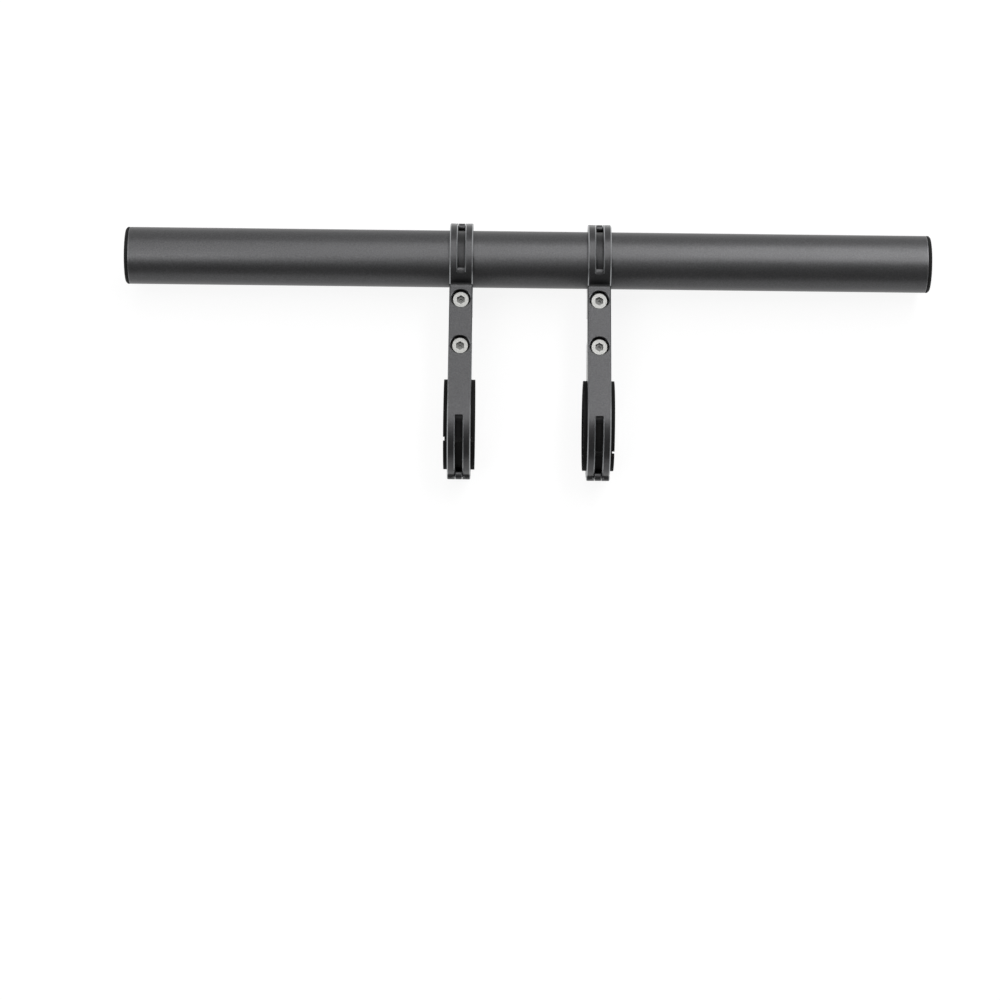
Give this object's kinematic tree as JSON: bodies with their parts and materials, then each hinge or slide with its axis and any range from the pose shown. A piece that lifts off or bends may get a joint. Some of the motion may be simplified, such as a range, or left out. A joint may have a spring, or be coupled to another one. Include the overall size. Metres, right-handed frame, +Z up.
{
  "type": "handlebar extender",
  "caption": "Straight accessory tube carried parallel to a bicycle handlebar by two hinged clamp brackets with socket screws and rubber liners.",
  "frame": {"origin": "on the handlebar's axis, midway between the two brackets", "axes": "+X along the bar and the tube, to the right as seen from the rider; +Y forward from the bar to the tube, in the split plane of the rings; +Z up, towards the screw heads"},
  "size_m": [0.3134, 0.1019, 0.0408],
  "materials": {
    "tube_anodised": "black anodised, bead blasted satin",
    "bracket_anodised": "black anodised, machined",
    "plug_plastic": "matt moulded",
    "pin_steel": "blackened steel",
    "screw_steel": "bright stainless steel",
    "liner_rubber": "matt rubber"
  },
  "bodies": {
    "root": {"extension_tube": "tube_anodised", "end_plug_left": "plug_plastic", "end_plug_right": "plug_plastic", "arm_left": "bracket_anodised", "arm_right": "bracket_anodised", "bar_hinge_pin_left": "pin_steel", "bar_hinge_pin_right": "pin_steel", "tube_hinge_pin_left": "pin_steel", "tube_hinge_pin_right": "pin_steel", "bar_liner_left": "liner_rubber", "bar_liner_right": "liner_rubber"},
    "bar_cap_left": {"bar_cap_left": "bracket_anodised"},
    "bar_cap_right": {"bar_cap_right": "bracket_anodised"},
    "tube_cap_left": {"tube_cap_left": "bracket_anodised"},
    "tube_cap_right": {"tube_cap_right": "bracket_anodised"},
    "bar_screw_left": {"bar_screw_left": "screw_steel"},
    "bar_screw_right": {"bar_screw_right": "screw_steel"},
    "tube_screw_left": {"tube_screw_left": "screw_steel"},
    "tube_screw_right": {"tube_screw_right": "screw_steel"}
  },
  "joints": [
    {"name": "bar_cap_hinge_left", "type": "hinge", "parent": "root", "child": "bar_cap_left", "pos_m": [-0.02685, -0.0196, 0], "axis": [-1, 0, 0], "range_deg": [0, 90]},
    {"name": "bar_cap_hinge_right", "type": "hinge", "parent": "root", "child": "bar_cap_right", "pos_m": [0.02685, -0.0196, 0], "axis": [-1, 0, 0], "range_deg": [0, 90]},
    {"name": "tube_cap_hinge_left", "type": "hinge", "parent": "root", "child": "tube_cap_left", "pos_m": [-0.02685, 0.0788, 0], "axis": [1, 0, 0], "range_deg": [0, 90]},
    {"name": "tube_cap_hinge_right", "type": "hinge", "parent": "root", "child": "tube_cap_right", "pos_m": [0.02685, 0.0788, 0], "axis": [1, 0, 0], "range_deg": [0, 90]},
    {"name": "bar_screw_slide_left", "type": "slide", "parent": "root", "child": "bar_screw_left", "axis": [0, 0, 1], "range_m": [0, 0.008]},
    {"name": "bar_screw_slide_right", "type": "slide", "parent": "root", "child": "bar_screw_right", "axis": [0, 0, 1], "range_m": [0, 0.008]},
    {"name": "tube_screw_slide_left", "type": "slide", "parent": "root", "child": "tube_screw_left", "axis": [0, 0, 1], "range_m": [0, 0.008]},
    {"name": "tube_screw_slide_right", "type": "slide", "parent": "root", "child": "tube_screw_right", "axis": [0, 0, 1], "range_m": [0, 0.008]}
  ]
}
